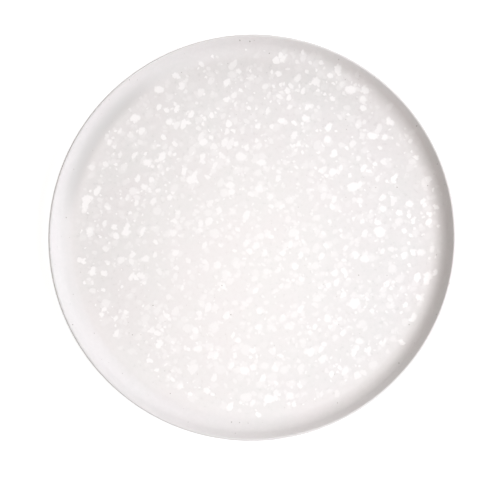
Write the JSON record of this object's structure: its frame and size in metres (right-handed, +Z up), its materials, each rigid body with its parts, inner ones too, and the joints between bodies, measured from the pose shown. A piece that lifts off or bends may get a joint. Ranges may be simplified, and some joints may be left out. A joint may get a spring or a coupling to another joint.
{
  "type": "charger plate",
  "caption": "Round coupe charger plate with a flat well, a smooth cove, a short steep wall with a round lip, a white-flecked pale glaze on the face and a bare clay foot ring.",
  "frame": {"origin": "centre of the foot ring, on the plane that the plate stands on", "axes": "+Z up along the plate's turning axis, out of the well; X and Y lie in the table plane, and the plate is the same all round"},
  "size_m": [0.33, 0.33, 0.0245],
  "materials": {
    "bare_clay": "matte unglazed stoneware",
    "flecked_glaze": "satin pale warm grey glaze with white flecks",
    "plain_glaze": "satin pale warm grey glaze"
  },
  "bodies": {
    "root": {"clay_body": "bare_clay", "face_glaze": "flecked_glaze", "back_glaze": "plain_glaze", "base_glaze": "plain_glaze"}
  },
  "joints": []
}
